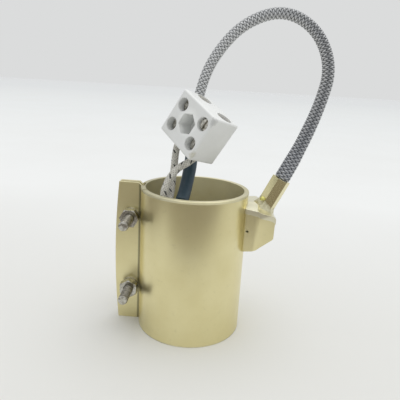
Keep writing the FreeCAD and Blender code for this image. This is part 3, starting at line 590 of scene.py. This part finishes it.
# Rise of a strand's cross-section, at shares of its width
STRAND_CROWN = [(-0.5, -0.1), (-0.32, 0.03), (0.0, 0.09), (0.32, 0.03), (0.5, -0.1)]
# How brightly the strands of each hand catch the light, given as painted highlight
HAND_SHINE = {1: 1.0, -1: 0.85}
# Stations between two crossings, and how many of them the core under the strands skips
CROSSING_STEPS = 5
CORE_STRIDE = 6
CORE_SEAT = 0.33
# Distance along the braid at which it leaves the outlet tube, and its half sizes from there
MOUTH = 5.0
BRAID_HALF = [
    (0, 1.95), (MOUTH - 0.5, 1.95), (MOUTH + 0.7, 3.0), (MOUTH + 6, 2.95), (MOUTH + 16, 2.6),
    (MOUTH + 34, 2.35), (MOUTH + 70, 2.1), (MOUTH + 126, 1.95),
]
BRAID_DEPTH = [
    (0, 1.95), (MOUTH - 0.5, 1.95), (MOUTH + 0.7, 2.5), (MOUTH + 6, 2.35), (MOUTH + 16, 2.05),
    (MOUTH + 34, 1.9), (MOUTH + 126, 1.9),
]
# Crease between the two wires inside, along the front and the back
CREASE_DEPTH = 0.4
CREASE_SHARPNESS = 12
BRAID_CREASE = [
    (0, 0.0), (MOUTH + 3, 0.0), (MOUTH + 14, CREASE_DEPTH), (MOUTH + 60, CREASE_DEPTH),
    (MOUTH + 95, 0.0),
]


def braid_reach(distance, angle):
    crease = profile(BRAID_CREASE, distance) * abs(math.sin(angle)) ** CREASE_SHARPNESS
    return oval(profile(BRAID_HALF, distance), profile(BRAID_DEPTH, distance), angle) - crease


def strand_parts(stations, hand, number):
    """One flat strand wound right or left, over one and under one of the other hand.

    Its painted highlight is brightest along the middle of its crowns, and painted shade dims it in
    the braid's crease.
    """
    vertices, faces, marks, shines = [], [], [], []
    for station in stations:
        distance = station[3]
        crossing = 2 * BRAID_STRANDS * distance / BRAID_LAY
        wave = hand * math.cos(math.pi * crossing)
        middle = hand * 2 * math.pi * distance / BRAID_LAY + 2 * math.pi * number / BRAID_STRANDS
        width = STRAND_WIDTH / BRAID_HALF[0][1]
        for offset, crown in STRAND_CROWN:
            angle = middle + offset * width
            reach = braid_reach(distance, angle) - STRAND_SEAT + wave * STRAND_RISE + crown
            vertices.append(off_line(station, angle, reach))
            crown_shine = HAND_SHINE[hand] * (0.5 + 0.5 * wave) ** 1.3 * (1.0 - 1.5 * abs(offset))
            in_crease = profile(BRAID_CREASE, distance) / CREASE_DEPTH
            in_crease *= abs(math.sin(angle)) ** (CREASE_SHARPNESS / 2)
            shines.append(crown_shine * (1.0 - 0.6 * in_crease))
    wide = len(STRAND_CROWN)
    for ring in range(len(stations) - 1):
        near, far = stations[ring][3], stations[ring + 1][3]
        for step in range(wide - 1):
            low, high = ring * wide + step, (ring + 1) * wide + step
            faces.append((low, low + 1, high + 1, high))
            left, right = step / (wide - 1), (step + 1) / (wide - 1)
            marks.append(((left, near), (right, near), (right, far), (left, far)))
    return (vertices, faces, marks), shines


def make_braid(looks):
    line = smooth_line(BRAID_ROUTE)
    stations = even_stations(line, BRAID_LAY / BRAID_STRANDS / 2 / CROSSING_STEPS, FRONT)
    core_stations = stations[::CORE_STRIDE] + [stations[-1]]
    core = tube_parts(core_stations, lambda *where: braid_reach(*where) - CORE_SEAT, sides=20)
    core_faces = len(core[1])
    whole = [list(part) for part in core]
    shines = [0.0] * len(whole[0])
    for hand in (1, -1):
        for number in range(BRAID_STRANDS):
            strand, strand_shines = strand_parts(stations, hand, number)
            add_part(whole, strand)
            shines += strand_shines
    piece = new_piece("braid_weave", *whole)
    piece.data.attributes.new("painted_sheen", "FLOAT", "POINT").data.foreach_set("value", shines)
    piece.data.materials.append(looks["metal_braid"].material)
    piece.data.materials.append(braid_gap_shade().material)
    for polygon in piece.data.polygons[:core_faces]:
        polygon.material_index = 1
    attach(piece, "heater")
    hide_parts("braid")
    return piece, line


# Shrink tube and leads

LEAD_DIAMETER = 2.7
# The shrink tube's half sizes, which flatten over the two leads
SLEEVE_HALF = [(0, 2.2), (10, 2.3), (22, 2.6), (33, 2.5)]
SLEEVE_DEPTH = [(0, 2.1), (10, 2.1), (22, 2.0), (33, 1.7)]


def make_sleeve(looks):
    stations = even_stations(smooth_line(SLEEVE_ROUTE), 0.4, FRONT)

    def radius(distance, angle):
        return oval(profile(SLEEVE_HALF, distance), profile(SLEEVE_DEPTH, distance), angle)

    piece = new_piece("lead_sleeve_skin", *tube_parts(stations, radius, sides=32))
    dress(piece, looks["shrink_tube"])
    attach(piece, "heater")
    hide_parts("lead_sleeve")
    return piece


def make_lead(looks, number, route):
    line = smooth_line(route)
    tube = tube_parts(even_stations(line, 0.35), lambda *_: LEAD_DIAMETER / 2, sides=24)
    piece = new_piece(f"lead_{number}_sleeving", *tube)
    dress(piece, looks["glass_fibre"])
    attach(piece, "heater")
    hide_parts(f"lead_{number}")
    return piece, line


def make_cords(looks):
    braid, braid_line = make_braid(looks)
    sleeve = make_sleeve(looks)
    block = ["terminal_block", "terminal_insert_1", "terminal_insert_2"]
    screws = ["supply_screw_1", "supply_screw_2", "lead_screw_1", "lead_screw_2"]
    for number, route in enumerate(LEAD_ROUTES, start=1):
        lead, line = make_lead(looks, number, route)
        ends = [nodes[name] for name in block + screws] if number == 1 else []
        ends.append(nodes[f"lead_conductor_{number}"])


# Threads and braze

THREAD_PITCH = 0.7
THREAD_ROOT = 1.58
THREAD_TOP = 1.95
THREAD_SIDES = 24
# Stations in each pitch of the thread
PITCH_STEPS = 8
# Unthreaded tip of the shank, and how much it narrows for each millimetre of its length
SHANK_TIP = 0.5
TIP_TAPER = 0.7
HEAD_HEIGHT = 2.6
# Distance below which two places count as one, in metres
HAIR = 1e-6


def thread_radius(distance, angle, length):
    """A rounded V thread that runs out at the tip."""
    turn = (distance / THREAD_PITCH - angle / (2 * math.pi)) % 1.0
    crest = min(1.0, max(0.0, 1.25 - 2.5 * abs(turn - 0.5)))
    taper = max(0.0, distance - (length - SHANK_TIP))
    return THREAD_ROOT + (THREAD_TOP - THREAD_ROOT) * crest - TIP_TAPER * taper


def make_threaded_screw(looks, level):
    """The clamp screw with its slotted head as packed and a cut thread on its shank."""
    node = f"clamp_screw_{level}"
    low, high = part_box(node)
    centre_x, centre_z = (low[0] + high[0]) / 2, (low[2] + high[2]) / 2
    shoulder = high[1] - HEAD_HEIGHT * MM
    length = (shoulder - low[1]) / MM
    count = round(length / THREAD_PITCH * PITCH_STEPS)
    stations = []
    for number in range(count + 1):
        distance = length * number / count
        place = Vector((centre_x, shoulder - distance * MM, centre_z))
        stations.append((place, Vector((1, 0, 0)), Vector((0, 0, 1)), distance))
    shank = tube_parts(stations, lambda *where: thread_radius(*where, length), THREAD_SIDES)
    whole = [list(part) for part in shank]
    end_faces = 2
    tip_faces = THREAD_SIDES * round(SHANK_TIP * PITCH_STEPS / THREAD_PITCH)
    threaded = len(whole[1]) - end_faces - tip_faces
    source = nodes[node].data

    def in_head(face):
        return min(source.vertices[index].co.y for index in face.vertices) > shoulder - HAIR

    head = [face for face in source.polygons if in_head(face)]
    used = sorted({index for face in head for index in face.vertices})
    renumber = {index: number for number, index in enumerate(used)}
    places = [source.vertices[index].co.copy() for index in used]
    faces = [tuple(renumber[index] for index in face.vertices) for face in head]
    add_part(whole, (places, faces, [((0.0, 0.0),) * len(face) for face in faces]))
    piece = new_piece(f"{node}_threaded", *whole)
    piece.data.set_sharp_from_angle(angle=math.radians(40))
    dress(piece, looks["plated_steel"])
    # The threaded faces take the darker copy of the plating, painted shade in the thread's valleys.
    piece.data.materials.append(looks["shaded_thread_steel"].material)
    for polygon in piece.data.polygons[:threaded]:
        polygon.material_index = 1
    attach(piece, "heater")
    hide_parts(node)


# Form given to the cap by hand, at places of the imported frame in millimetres. The lid's front is
# bent down, most beside the shell. Below the lid the box narrows, its flanks flare out where they
# meet the shell, and its far end is pulled in.
DROOP_BY_SHELL, DROOP_LOST = 1.9, 2.5
DROOP_FROM_X, DROOP_OVER_X = 25.5, 7.5
DROOP_FROM_Y, DROOP_OVER_Y = 0.9, 7.1
DROOP_FROM_Z, DROOP_OVER_Z = 44, 8
BOX_TOP, BOX_TAPER = 53, 0.0125
BOX_FROM_X, BOX_OVER_X = 24.4, 2.6
FLARE_TO_X, FLARE_OVER_X = 26.6, 5.3
FLARE_FROM_Y, FLARE_OVER_Y = 2.5, 2
FLARE_OUT, FLARE_BACK = 1.2, 0.35
END_FROM_X, END_KEPT = 32.4, 0.3
# Longest edge of the shaped pieces' meshes, and how often they are divided to reach it
FINE_EDGE = 1.1
FINE_ROUNDS = 4
# Edges with more than this angle between their faces stay crisp
CRISP = math.radians(32)


def eased(share):
    """A share from 0 to 1 that starts and ends gently."""
    share = min(1.0, max(0.0, share))
    return share * share * (3 - 2 * share)


def lid_droop(x, y):
    """How far the lid is bent down toward its front, most beside the shell."""
    depth = DROOP_BY_SHELL - DROOP_LOST * eased((x - DROOP_FROM_X) / DROOP_OVER_X)
    return depth * min(1.0, max(0.0, (-y - DROOP_FROM_Y) / DROOP_OVER_Y))


def cap_shape(x, y, z):
    """Where a point of the cap or lid comes to lie in its hand-finished form."""
    lower = lid_droop(x, y) * eased((z - DROOP_FROM_Z) / DROOP_OVER_Z)
    y *= 1 - BOX_TAPER * max(0.0, BOX_TOP - z) * eased((x - BOX_FROM_X) / BOX_OVER_X)
    flare = max(0.0, min(1.0, (FLARE_TO_X - x) / FLARE_OVER_X))
    flare *= eased((abs(y) - FLARE_FROM_Y) / FLARE_OVER_Y)
    y += math.copysign(FLARE_OUT * flare, y)
    x -= FLARE_BACK * flare * flare
    if x > END_FROM_X:
        x = END_FROM_X + (x - END_FROM_X) * END_KEPT
    return x, y, z - lower


def make_shaped(looks, node, name, look):
    """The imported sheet-metal piece with its mesh divided finely and bent to the cap's form."""
    mesh = bmesh.new()
    mesh.from_mesh(nodes[node].data)
    for _ in range(FINE_ROUNDS):
        long_edges = [edge for edge in mesh.edges if edge.calc_length() > FINE_EDGE * MM]
        bmesh.ops.subdivide_edges(mesh, edges=long_edges, cuts=1)
        bmesh.ops.triangulate(mesh, faces=mesh.faces)
    for vertex in mesh.verts:
        vertex.co = Vector(cap_shape(*(vertex.co / MM))) * MM
    data = bpy.data.meshes.new(name)
    mesh.to_mesh(data)
    mesh.free()
    data.shade_smooth()
    data.set_sharp_from_angle(angle=CRISP)
    piece = bpy.data.objects.new(name, data)
    bpy.context.scene.collection.objects.link(piece)
    dress(piece, looks[look])
    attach(piece, "heater")
    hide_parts(node)


FERRULE_CORNER = 3.81
FERRULE_TILT = math.radians(25.0)
LID_ANGLE = math.radians(33.7)
LID_TOP = 56.0
# Braze run-out: its reach onto the lid and its rise up the outlet, each as the least value, what
# the left front has more and how much it wavers
SKIRT_SPREAD = (0.9, 0.7, 0.12)
SKIRT_RISE = (1.3, 2.4, 0.25)
SKIRT_SEAT = 0.03
SKIRT_SUNK = 0.7


def hexagon_reach(angle):
    """Reach of the outlet's hexagon, whose corners lie at 0, 60, 120 degrees and on."""
    within = (angle % (math.pi / 3)) - math.pi / 6
    return FERRULE_CORNER * math.cos(math.pi / 6) / math.cos(within)


def make_braze_skirt(looks):
    """Braze run out from the outlet's flats onto the lid, highest and widest at the left front."""
    across = Vector((math.cos(FERRULE_TILT), 0, -math.sin(FERRULE_TILT)))
    second = Vector((0, 1, 0))
    axis = Vector((math.sin(FERRULE_TILT), 0, math.cos(FERRULE_TILT)))
    rows, columns = 14, 72
    vertices, faces = [], []

    def blend(amounts, bias, wave):
        least, more, wavering = amounts
        return least + more * bias + wavering * wave

    for row in range(rows + 1):
        share = row / rows
        for column in range(columns):
            angle = 2 * math.pi * column / columns
            bias = eased(0.5 - 0.5 * math.cos(angle + math.radians(15)))
            wave = 0.5 * math.sin(3 * angle + 0.6) + 0.5 * math.sin(5 * angle + 2.0)
            spread = blend(SKIRT_SPREAD, bias, wave)
            rise = blend(SKIRT_RISE, bias, wave)
            reach = hexagon_reach(angle) + SKIRT_SEAT + spread * share ** 2.4
            lean = reach * math.cos(angle)
            slope = -lean * math.tan(LID_ANGLE - FERRULE_TILT)
            over_seat = LID_TOP - OUTLET_SEAT.z + math.sin(FERRULE_TILT) * lean
            flat = over_seat / math.cos(FERRULE_TILT)
            floor = min(slope, flat) - SKIRT_SUNK * share ** 6
            height = floor * share + rise * (1 - share)
            place = OUTLET_SEAT + across * lean + second * (reach * math.sin(angle)) + axis * height
            place.z -= lid_droop(place.x, place.y) * share
            vertices.append(place * MM)
    for row in range(rows):
        for column in range(columns):
            after = (column + 1) % columns
            low, high = row * columns, (row + 1) * columns
            faces.append((low + column, high + column, high + after, low + after))
    piece = new_piece("braze_skirt", vertices, faces)
    dress(piece, looks["braze"])
    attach(piece, "heater")
    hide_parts("braze_collar")


def make_braze_bead(looks):
    """A droplet of braze left on the outlet's root."""
    centre, radii = Vector((27.15, -3.3, 58.2)), Vector((0.95, 0.7, 0.85))
    rows, columns = 12, 18
    vertices, faces = [], []
    for row in range(rows + 1):
        tilt = math.pi * row / rows
        for column in range(columns):
            turn = 2 * math.pi * column / columns
            level = math.sin(tilt)
            swell = 1 + 0.08 * math.sin(2 * turn + 1.0) * level + 0.05 * math.cos(3 * tilt)
            way = Vector((level * math.cos(turn), level * math.sin(turn), math.cos(tilt)))
            vertices.append((centre + way * radii * swell) * MM)
    for row in range(rows):
        for column in range(columns):
            after = (column + 1) % columns
            low, high = row * columns, (row + 1) * columns
            faces.append((high + column, high + after, low + after, low + column))
    piece = new_piece("braze_bead", vertices, faces)
    dress(piece, looks["braze_drop"])
    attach(piece, "heater")


# Stage, light and camera

def make_floor():
    """Pale floor that reaches nearly to the horizon."""
    far = 6.0
    corners = [(-far, -far, 0), (far, -far, 0), (far, far, 0), (-far, far, 0)]
    floor = new_piece("floor", corners, [(0, 1, 2, 3)])
    look = Look("floor", Roughness=0.9)
    place = look.place((MM / far, MM / far, 0))
    behind = look.add("ShaderNodeSeparateXYZ", Vector=place).outputs["Y"]
    round_about = look.add("ShaderNodeVectorMath", {"operation": "LENGTH"})
    look.feed(round_about.inputs[0], place)
    away = look.math("MAXIMUM", behind, look.math("SUBTRACT", round_about.outputs["Value"], 0.05))
    tint = look.ramp(
        away,
        (0.0, shade((226, 226, 222))), (0.035, shade((237, 238, 236))),
        (0.185, shade((229, 231, 230))), (0.314, shade((224, 226, 225))),
        (0.5, shade((218, 220, 220))), (1.0, shade((216, 217, 217))),
    )
    cloud = look.noise(look.place((0.01, 0.01, 0.01)), 0.6, detail=3.0)
    look.colour(look.mix(look.ramp(cloud, (0.4, 0.0), (0.8, 0.25)), tint, shade((222, 222, 218))))
    dress(floor, look)


def make_dark_table(sheet_left, sheet_right, sheet_near):
    """Dark table round the white sheet that the heater stands on, which only reflections see."""
    far, wide, back, height = -700, 800, 90, 2
    strips = [
        (-wide, far, wide, sheet_near),
        (-wide, sheet_near, sheet_left, back),
        (sheet_right, sheet_near, wide, back),
    ]
    vertices, faces = [], []
    for left, near, right, end in strips:
        start = len(vertices)
        for x, y in ((left, near), (right, near), (right, end), (left, end)):
            vertices.append(Vector((x, y, height)) * MM)
        faces.append((start, start + 1, start + 2, start + 3))
    table = new_piece("dark_table", vertices, faces)
    look = Look("dark_table", Roughness=0.9)
    grain = look.noise(look.place((0.02, 0.02, 0.02)), 1.0)
    look.colour(look.ramp(grain, (0.3, shade((126, 117, 106))), (0.7, shade((116, 107, 98)))))
    dress(table, look)
    for ray in ("camera", "diffuse", "transmission", "shadow", "volume_scatter"):
        setattr(table, f"visible_{ray}", False)


def make_world():
    """Even pale surroundings, which camera and reflections see a little greyer."""
    world = bpy.data.worlds.new("studio")
    world.use_nodes = True
    bpy.context.scene.world = world
    tree = world.node_tree
    tree.nodes.clear()
    output = tree.nodes.new("ShaderNodeOutputWorld")
    blend = tree.nodes.new("ShaderNodeMixShader")
    path = tree.nodes.new("ShaderNodeLightPath")
    glossy_or_clear = tree.nodes.new("ShaderNodeMath")
    seen = tree.nodes.new("ShaderNodeMath")
    glossy_or_clear.operation = seen.operation = "MAXIMUM"
    tree.links.new(path.outputs["Is Glossy Ray"], glossy_or_clear.inputs[0])
    tree.links.new(path.outputs["Is Transmission Ray"], glossy_or_clear.inputs[1])
    tree.links.new(path.outputs["Is Camera Ray"], seen.inputs[0])
    tree.links.new(glossy_or_clear.outputs[0], seen.inputs[1])
    tree.links.new(seen.outputs[0], blend.inputs["Fac"])
    for socket, tint, strength in ((1, (250, 251, 253), 0.67), (2, (219, 220, 220), 1.0)):
        background = tree.nodes.new("ShaderNodeBackground")
        background.inputs["Color"].default_value = shade(tint)
        background.inputs["Strength"].default_value = strength
        tree.links.new(background.outputs["Background"], blend.inputs[socket])
    tree.links.new(blend.outputs["Shader"], output.inputs["Surface"])


def make_sun():
    """A broad soft light from above on the right."""
    lamp = bpy.data.lights.new("sun", "SUN")
    lamp.energy = 1.27
    lamp.angle = math.radians(65)
    toward_lamp = Vector((0.12, 0.05, 0.98))
    holder = bpy.data.objects.new("sun", lamp)
    holder.rotation_euler = toward_lamp.to_track_quat("Z", "Y").to_euler()
    bpy.context.scene.collection.objects.link(holder)


def make_camera():
    """The photograph's view, fitted to the rims of the band."""
    focal_pixels, frame_pixels, sensor = 426.71, 400, 36.0
    place = Vector((9.942, -168.11, 101.716)) * MM
    ahead = Vector((-0.044, 0.962, -0.268)).normalized()
    right = Vector((0.997, 0.061, 0.056))
    right = (right - ahead * right.dot(ahead)).normalized()
    up = right.cross(ahead)
    data = bpy.data.cameras.new("camera")
    data.sensor_width = sensor
    data.lens = focal_pixels / frame_pixels * sensor
    data.clip_start = 0.01
    camera = bpy.data.objects.new("camera", data)
    axes = Matrix((right, up, -ahead)).transposed().to_4x4()
    camera.matrix_world = Matrix.Translation(place) @ axes
    bpy.context.scene.collection.objects.link(camera)
    bpy.context.scene.camera = camera


def smooth_solids():
    """Round faces of the solids shade as round, and their edges stay crisp."""
    for node in nodes.values():
        node.data.shade_smooth()
        node.data.set_sharp_from_angle(angle=CRISP)


looks = make_looks()
make_camera()
smooth_solids()
dress_solids(looks)
make_cords(looks)
for level in ("lower", "upper"):
    make_threaded_screw(looks, level)
make_shaped(looks, "terminal_cap", "terminal_cap_shaped", "brass_sheet")
make_shaped(looks, "cap_lid", "cap_lid_shaped", "brass_lid")
make_braze_skirt(looks)
make_braze_bead(looks)
make_floor()
make_dark_table(sheet_left=-150, sheet_right=300, sheet_near=-110)
make_world()
make_sun()
bpy.context.scene.view_settings.view_transform = "Standard"
